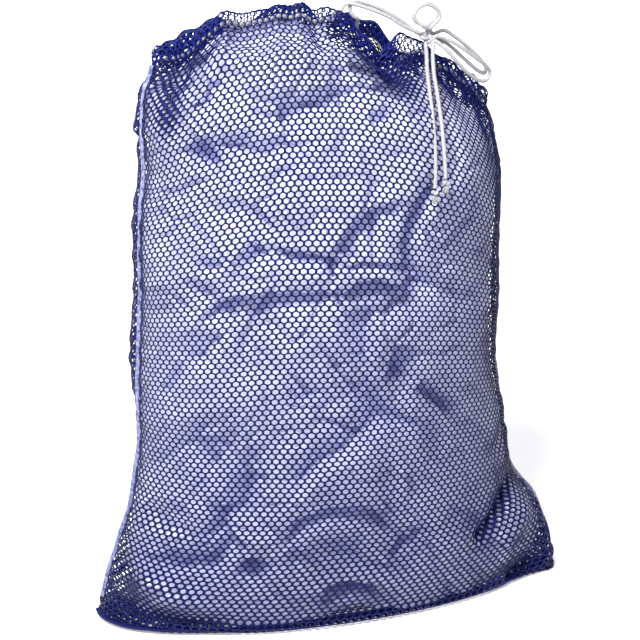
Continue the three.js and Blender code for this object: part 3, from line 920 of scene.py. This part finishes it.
def make_hem(side):
    surface = hem_surface(side)
    normals = grid_normals(surface, side)
    size = (FLAT_WIDTH, length_of(resample(HEM_SECTION, HEM_STEPS)))

    def open_share(u, v):
        x = look_up(surface, u, v)[:, 0]
        ends = smoothstep(-0.115, -0.145, x) + 0.7 * smoothstep(0.105, 0.130, x)
        bunched = 0.34 * gap_share(x) + 0.20 * ends
        return np.interp(v, HEM_HOLE_PLACES, HEM_HOLES[side]) - bunched

    parts = [net(surface, normals, NET_COLUMNS, HEM_ROWS, size, open_share, side > 0)[:2]]
    step = np.arange(EDGE_PLACES)
    grain = step[:, None] * 0.9 + np.arange(EDGE_SIDES)[None, :] * TURN / EDGE_SIDES
    for row in (0, -1):
        edge = resample(surface[row], EDGE_PLACES)
        parts.append(tube(edge, EDGE_RADIUS * (1.0 + 0.25 * np.sin(grain)), EDGE_SIDES))
    crest = resample(surface[HEM_CREST_ROW], EDGE_PLACES)
    rolling = noise_line(step * 0.09, side + 2.5)
    crest_radii = 0.0008 + 0.0003 * rolling_noise(rolling, 41)
    parts.append(tube(crest - [0.0, 0.0, 0.0012], crest_radii, EDGE_SIDES))
    word = SIDE_NAMES[side]
    return add_piece(f"{word}_hem_net", *join(parts), NAVY_HEM, f"{word}_hem", "hem", "bag")


def casing_path():
    """Round inside the casing: along the front to the left end, along the back, and home to the gap."""
    stretches = []
    for side in (-1, 1):
        foot, outward = hem_foot(side)
        stretches.append(foot - outward * CASING_INSET + np.array([0.0, 0.0, CASING_HEIGHT]))
    front, back = stretches
    left_end = int(np.argmin(np.abs(front[:, 0] - CASING_START_X)))
    gap_right = int(np.argmin(np.abs(front[:, 0] - CASING_TURN_X)))
    crossing = (back[:, 0] > CROSSING_X[0]) & (back[:, 0] < CROSSING_X[1])
    margin = CASING_STRIDE
    lead_starts = [np.array(CORDS[name][0][0]) * MM for name in ("front_lead", "back_lead")]
    return catmull_rom(np.concatenate([
        [lead_starts[0] - [0.001, 0.0, 0.0]],
        front[left_end:margin:-CASING_STRIDE],
        back[margin:-margin:CASING_STRIDE],
        front[-margin:gap_right:-CASING_STRIDE],
        back[crossing][::-CASING_STRIDE] - [0.0, 0.0, 0.006],
        [lead_starts[1] + [0.001, 0.0, 0.0]],
    ]), 1600)


def make_casing_cord():
    path = casing_path()
    points, faces = braided(path, CORD_DIAMETER / 2)
    piece = add_piece("casing_cord_cord", points, faces, WHITE_CORD, "casing_cord", "cord", "bag")


# ---- seams
SEAM_STEP = 0.0008
STITCH_PITCH = 0.0034
SEAM_ACROSS = 9
SIDE_SEAM_FOOT_ROW = 10
SEAM_LOWEST = 0.0006


def overlocked(path, outward, width, thickness, wave):
    """A flat seam allowance that stands out from a path, bound with overlock thread."""
    count = round(length_of(path) / SEAM_STEP)
    outward = normalised(resample(outward, count))
    path = resample(path, count)
    along = normalised(np.gradient(path, axis=0))
    outward = normalised(outward - np.sum(outward * along, -1, keepdims=True) * along)
    flat = np.cross(along, outward)
    place = np.arange(count)[:, None] * SEAM_STEP
    bend = wave * rolling_noise(noise_line(place[:, 0] * 16.0, 3.5), 61)[:, None]
    outwards = np.linspace(-0.12, 1.0, SEAM_ACROSS)
    across = np.concatenate([outwards, outwards[::-1]])[None, :]
    layer = np.repeat([1.0, -1.0], SEAM_ACROSS)[None, :]
    loops = 0.5 + 0.5 * np.cos(TURN * (place / STITCH_PITCH + 0.45 * across))
    edge = np.sqrt(unit_clip(1.0 - unit_clip(across) ** 6))
    rise = layer * thickness * (0.35 + 0.65 * edge) * (0.7 + 0.45 * loops)
    scallop = width * (1.0 + 0.07 * loops * (across > 0.8))
    points = (
        path[:, None]
        + outward[:, None] * (across * scallop)[..., None]
        + flat[:, None] * (rise + bend * unit_clip(across) ** 1.5)[..., None]
    )
    sides = points.shape[1]
    quads = ring_faces(count, sides)[:, [0, 3, 2, 1]].tolist()
    caps = [list(range(sides)), [(count - 1) * sides + k for k in range(sides)][::-1]]
    return points.reshape(-1, 3), quads + caps


def make_side_seam(word, column, direction):
    path = PANELS[-1][SIDE_SEAM_FOOT_ROW:, column]
    outward = np.tile([direction * 0.75, 0.65, 0.0], (len(path), 1))
    points, faces = overlocked(path, outward, 0.0050, 0.0009, 0.0008)
    return add_piece(f"{word}_seam_cloth", points, faces, PALE_STITCH, f"{word}_side_seam", "seam", "bag")


def make_bottom_seam():
    path = bottom_seam_line(np.linspace(0.0, 1.0, 400)) + [0.0, 0.0, 0.0005]
    plan = np.gradient(path, axis=0)
    outward = normalised(np.cross(plan, [0.0, 0.0, 1.0]))
    points, faces = overlocked(path + [0.0, 0.0, 0.0025], outward, 0.0060, 0.0022, 0.0012)
    points[:, 2] = np.maximum(points[:, 2], SEAM_LOWEST)
    return add_piece("bottom_seam_cloth", points, faces, NAVY_SEAM, "bottom_seam", "seam", "bag")


# ---- laundry
# The load's rows, by height at the middle of the bag, and where each is parted, by X.
LOAD_ROWS = [
    (0.000, 0.150, [-0.070, 0.095], ["bottom_left", "bottom_middle", "bottom_right"]),
    (0.150, 0.320, [-0.135, 0.060], ["low_left", "low_middle", "low_right"]),
    (0.320, 0.460, [-0.020], ["middle_left", "middle_right"]),
    (0.460, 0.600, [-0.095, 0.110], ["high_left", "high_middle", "high_right"]),
    (0.600, 0.745, [-0.010], ["top_left", "top_right"]),
]
TOWELS = {"bottom_left", "low_right", "middle_right", "high_right", "top_left"}
LOAD_INSET = 0.0045
BUNDLE_EDGE = 0.0008
# Within this much of its edges a bundle takes up folds that all of them share, so they run on.
BLEND_IN = 0.035
SHARED_SEED = 900
SHARED_LIE = 0.6
# The load's top stands over the foot of the hem, and keeps this much further in to clear it.
CROWN_RISE = 0.016
HEM_CLEARANCE = 0.0075
# How far up each panel the load begins, and how far it stays over the ground.
FOOT_OF_LOAD = {-1: 0.044, 1: 0.012}
LOAD_FLOOR = 0.006
# The outer bundles' side walls are set past the bag's own, which they then follow.
WALL_X = 0.4
# The stretch of v over which the load's folds die out towards the mouth.
MOUTH_BEGINS = (0.93, 0.985)
FIRST_SEED = 3
SEED_STEP = 5
BUNDLE_ACROSS = 130
BUNDLE_UP = 110

# The folds seen through the front: their lines, square on as x and z, then depth and half width, all in
# millimetres. At an overlap the cloth on the right of the line goes under the cloth on its left, and a
# hollow is a pit or valley along the line.
OVERLAPS = [
    ([(-77, 672), (-46, 681), (-8, 691), (43, 695), (110, 703)], 12, 20),
    ([(-68, 636), (-73, 655), (-77, 672)], 14, 14),
    ([(-27, 502), (-7, 526), (18, 544), (58, 553)], 16, 26),
    ([(-99, 508), (-76, 502), (-43, 498), (-17, 489)], 14, 10),
    ([(-190, 410), (-165, 436), (-141, 446), (-60, 448), (-28, 449), (-9, 461)], 16, 12),
    ([(-17, 444), (5, 458), (36, 458), (62, 445), (94, 445), (123, 438)], 24, 12),
    ([(-17, 482), (18, 482), (56, 477), (94, 468)], 10, 6),
    ([(134, 579), (106, 557), (87, 528), (82, 497), (92, 468), (111, 442)], 26, 10),
    ([(28, 428), (20, 396), (17, 363), (25, 327), (41, 296), (67, 274), (98, 265)], 18, 30),
    ([(81, 269), (57, 268), (21, 256), (-6, 240), (-39, 229), (-61, 212), (-78, 189)], 20, 26),
    ([(60, 115), (37, 130), (6, 142), (-32, 147), (-62, 138), (-85, 119)], 22, 12),
    ([(-86, 103), (-48, 109), (-11, 118), (17, 121)], 18, 30),
    ([(118, 112), (89, 88), (58, 68)], 22, 18),
    ([(-112, 202), (-144, 220), (-161, 243), (-180, 264)], 12, 30),
    ([(141, 146), (177, 120), (209, 98)], 14, 16),
]
HOLLOWS = [
    ([(-121, 721), (-158, 696), (-186, 668)], 8, 16),
    ([(30, 651), (49, 655), (64, 660)], 12, 7),
    ([(-152, 635), (-133, 624), (-105, 618), (-82, 629), (-52, 629)], 10, 7),
    ([(-182, 628), (-170, 610), (-166, 600)], 20, 9),
    ([(-52, 621), (-75, 600), (-105, 584)], 8, 10),
    ([(-134, 488), (-113, 508)], 14, 7),
    ([(-186, 484), (-158, 487)], 9, 6),
    ([(-208, 358), (-190, 378), (-163, 391)], 9, 12),
    ([(77, 374), (68, 345), (64, 322)], 30, 13),
    ([(96, 318), (124, 293), (164, 258)], 26, 8),
    ([(103, 273), (114, 251), (140, 208)], 14, 10),
    ([(-196, 262), (-190, 239), (-176, 214)], 18, 10),
    ([(-134, 214), (-140, 186), (-147, 154)], 24, 10),
    ([(-169, 174), (-175, 145), (-183, 124)], 26, 10),
    ([(-145, 129), (-169, 104), (-190, 78)], 26, 10),
    ([(-208, 114), (-212, 78)], 18, 10),
    ([(-123, 94), (-134, 62)], 34, 10),
    ([(-36, 26), (3, 26), (42, 22)], 24, 12),
    ([(84, 203), (90, 161), (76, 122)], 10, 18),
    ([(-238, 106), (-228, 76)], 16, 10),
]
ROLL_RADIUS = 0.0045
# How much deeper and wider the folds are made, to show through the netting.
FOLD_DEPTH = 1.8
FOLD_WIDTH = 1.5


def fold_shape(gap, on_right, width, overlap):
    if overlap:
        return np.where(on_right, np.exp(-gap / width), np.exp(-((gap / ROLL_RADIUS) ** 2)))
    return np.exp(-((gap / width) ** 2))


def seen_folds(places):
    """How far back the folds seen through the front put the cloth."""
    total = np.zeros(places.shape[:-1])
    for folds, overlap in ((OVERLAPS, True), (HOLLOWS, False)):
        for line, deep, width in folds:
            gap, along, on_right = distance_to_line(places[..., [0, 2]], np.array(line) * MM)
            fade = smoothstep(0.0, 0.2, along + 0.05) * smoothstep(0.0, 0.2, 1.05 - along)
            shape = fold_shape(gap, on_right, FOLD_WIDTH * width * MM, overlap)
            total += FOLD_DEPTH * deep * MM * fade * shape
    return total


def soft_positive(value, softness):
    return 0.5 * (value + np.sqrt(value * value + softness * softness))


def laundry_depth(places, seed, lie):
    """How far behind the netting the cloth lies: pressed flat here, folded back there."""
    cross = places @ np.array([math.cos(lie), 0.25, math.sin(lie)])
    length = places @ np.array([-math.sin(lie), 0.1, math.cos(lie)])
    shifted = np.stack([cross, length, places[..., 1]], -1)
    cross = cross + 0.018 * rolling_noise(shifted * 9.0, seed + 50, octaves=2)
    broad = lattice_noise(shifted * 10.0, seed)
    warped = np.stack([cross, length, places[..., 1]], -1)
    folds = 1.0 - np.abs(lattice_noise(warped * [17.0, 6.0, 6.0], seed + 7))
    pleats = lattice_noise(warped * [60.0, 12.0, 9.0], seed + 13)
    crumple = 1.0 - np.abs(lattice_noise(warped * [34.0, 19.0, 12.0], seed + 3))
    fine = lattice_noise(places * 60.0, seed + 21)
    creases = 0.018 * (folds ** 6 - 0.2) + 0.009 * (crumple ** 8 - 0.1)
    value = 0.004 + 0.012 * broad + creases + 0.0012 * pleats + 0.0004 * fine
    return soft_positive(value, 0.004)


def height_shares(side):
    """v against height, up the middle of a panel."""
    middle = PANELS[side][:, GRID_ACROSS // 2, 2]
    return np.maximum.accumulate(middle + np.arange(GRID_UP) * 1e-7)


HEIGHTS = {side: height_shares(side) for side in PANELS}


def v_at(side, height):
    return np.interp(height, HEIGHTS[side], GRID_V)


def u_at(side, x):
    middle = PANELS[side][GRID_UP // 2, :, 0]
    return np.interp(x, middle, GRID_U)


def parting(key, along):
    """How far a parting between bundles strays from its straight course, as a share of the panel."""
    course = noise_line(along * 2.4, key)
    return 0.030 * lattice_noise(course, 17) + 0.007 * lattice_noise(course * 4.0, 18)


def crown(side, u):
    """How far the load stands above the hem's foot inside the mouth, as a share of the panel's height."""
    x = look_up(PANELS[side], u, np.ones_like(u))[..., 0]
    under_gap = smoothstep(0.075, 0.035, np.abs(x - GAP_X))
    rise = CROWN_RISE - 0.060 * under_gap - 0.050 * smoothstep(0.14, 0.185, np.abs(x))
    return rise / FLAT_HEIGHT


def bundle_face(side, low, high, left, right, seed, lie):
    """One face of a bundle, as a grid of places behind a panel."""
    a = np.linspace(0.0, 1.0, BUNDLE_ACROSS)[None, :]
    b = np.linspace(0.0, 1.0, BUNDLE_UP)[:, None]
    outer_left = left == -WALL_X
    outer_right = right == WALL_X
    height = low + (high - low) * b
    corner = 0.075 * smoothstep(0.14, 0.0, height) + 0.010
    u_left = corner if outer_left else u_at(side, left) + parting(left * 40.0, height)
    u_right = 1.0 - corner if outer_right else u_at(side, right) + parting(right * 40.0, height)
    u = u_left + (u_right - u_left) * a
    v_low, v_high = (v_at(side, z) + parting(z * 30.0, u) for z in (low, high))
    if low == LOAD_ROWS[0][0]:
        v_low = np.full_like(u, FOOT_OF_LOAD[side])
    if high == LOAD_ROWS[-1][1]:
        v_high = 1.0 + crown(side, u)
    v = v_low + (v_high - v_low) * b
    ground = look_up(PANELS[side], u, v)
    ground[..., 2] += np.maximum(v - 1.0, 0.0) * FLAT_HEIGHT
    facing = normalised(look_up(NORMALS[side], u, v))
    width = np.linalg.norm(np.diff(ground, axis=1), axis=-1).sum(1)[:, None]
    tall = np.linalg.norm(np.diff(ground, axis=0), axis=-1).sum(0)[None, :]
    from_edge = np.minimum(b, 1.0 - b) * tall
    if not outer_left:
        from_edge = np.minimum(from_edge, a * width)
    if not outer_right:
        from_edge = np.minimum(from_edge, (1.0 - a) * width)
    turn = 1.0 - unit_clip(from_edge / BUNDLE_EDGE)
    edge = BUNDLE_EDGE * (1.0 - np.sqrt(unit_clip(1.0 - turn * turn)))
    own = smoothstep(0.0, BLEND_IN, from_edge)
    shared = laundry_depth(ground, SHARED_SEED, SHARED_LIE)
    depth = own * laundry_depth(ground, seed, lie) + (1.0 - own) * shared
    if side < 0:
        depth = depth + seen_folds(ground)
    thin = smoothstep(0.0, 0.07, np.minimum(u, 1.0 - u))
    in_mouth = smoothstep(*MOUTH_BEGINS, v)
    depth = np.maximum(depth, 0.0) * (0.25 + 0.75 * thin) * (1.0 - 0.85 * in_mouth)
    inset = LOAD_INSET + depth + edge + HEM_CLEARANCE * in_mouth
    place = ground - facing * inset[..., None]
    place[..., 2] = np.maximum(place[..., 2], LOAD_FLOOR)
    return place


def make_bundle(name, low, high, left, right, seed):
    lie = (seed * 1.7) % math.pi
    front = bundle_face(-1, low, high, left, right, seed, lie)
    back = bundle_face(1, low, high, left, right, seed + 100, lie)
    rings = np.concatenate([front, back[:, ::-1]], axis=1)
    count = rings.shape[1]
    faces = ring_faces(len(rings), count).tolist()
    points = np.concatenate([rings.reshape(-1, 3), [rings[0].mean(0)], [rings[-1].mean(0)]])
    foot, head = len(points) - 2, len(points) - 1
    last = foot - count
    faces += [[foot, (k + 1) % count, k] for k in range(count)]
    faces += [[head, last + k, last + (k + 1) % count] for k in range(count)]
    finish = TOWEL_CLOTH if name in TOWELS else SMOOTH_CLOTH
    node = f"laundry_{name}"
    bundle = add_piece(f"cloth_{name}", points, faces, finish, node, "laundry", "bag")


def make_laundry():
    seed = FIRST_SEED
    for low, high, cuts, names in LOAD_ROWS:
        walls = [-WALL_X, *cuts, WALL_X]
        for name, left, right in zip(names, walls, walls[1:]):
            make_bundle(name, low, high, left, right, seed)
            seed += SEED_STEP


# ---- studio
STAGE_REACH = 6.0
WALL_Y = 3.0
WORLD_COLOUR = (0.93, 0.95, 1.0, 1.0)
WORLD_STRENGTH = 0.20


def area_light(name, place, target, size, power):
    data = bpy.data.lights.new(name, "AREA")
    data.shape = "SQUARE"
    data.size = size
    data.energy = power
    light = bpy.data.objects.new(name, data)
    light.location = place
    aim = normalised(np.array(target) - np.array(place))
    level = math.hypot(aim[0], aim[1])
    light.rotation_euler = (math.atan2(level, -aim[2]), 0.0, math.atan2(-aim[0], aim[1]))
    bpy.context.scene.collection.objects.link(light)


def make_screen(name, corners, dark, light, mottle, grain, roughness, glow):
    """A glowing sheet of paper: mottle and grain are the scales of its tone and of its texture."""
    nodes = Nodes(name)
    paper = nodes.ramp(nodes.noise(mottle), dark, light)
    nodes.link(paper, nodes.shader.inputs["Emission Color"])
    texture = nodes.bump(nodes.noise(grain), 0.0001)
    finish = nodes.finish(paper, roughness, texture, Emission_Strength=glow)
    return add_mesh(name, corners, [[0, 1, 2, 3]], finish)


def make_studio():
    ground = [[x * STAGE_REACH, y * STAGE_REACH, 0.0] for x, y in ((-1, -1), (1, -1), (1, 1), (-1, 1))]
    behind = [[x * STAGE_REACH, WALL_Y, z * STAGE_REACH] for x, z in ((-1, 0), (1, 0), (1, 1), (-1, 1))]
    floor = make_screen("floor", ground, (0.90, 0.90, 0.91), (0.93, 0.93, 0.93), 3.0, 60.0, 0.9, 0.38)
    wall = make_screen("backdrop", behind, (0.97, 0.97, 0.97), (1.0, 1.0, 1.0), 2.0, 20.0, 1.0, 1.0)
    world = bpy.data.worlds.new("studio")
    world.use_nodes = True
    background = world.node_tree.nodes["Background"]
    background.inputs["Color"].default_value = WORLD_COLOUR
    background.inputs["Strength"].default_value = WORLD_STRENGTH
    scene = bpy.context.scene
    scene.world = world
    scene.view_settings.view_transform = "Standard"
    area_light("key", (-0.80, -1.00, 2.15), (0.0, 0.0, 0.50), 0.65, 108.0)
    area_light("fill", (1.0, -3.0, 1.0), (0.0, 0.0, 0.35), 1.6, 12.0)


# ---- the whole bag
make_camera()
bow_knot = make_bow_knot()
for cord_name in CORDS:
    make_cord(cord_name, bow_knot)
make_casing_cord()
hems = {panel_side: make_hem(panel_side) for panel_side in SIDE_NAMES}
seams = [make_side_seam("left", 0, -1), make_side_seam("right", -1, 1), make_bottom_seam()]
for panel_side, hem in hems.items():
    make_panel(panel_side)
make_laundry()
make_studio()
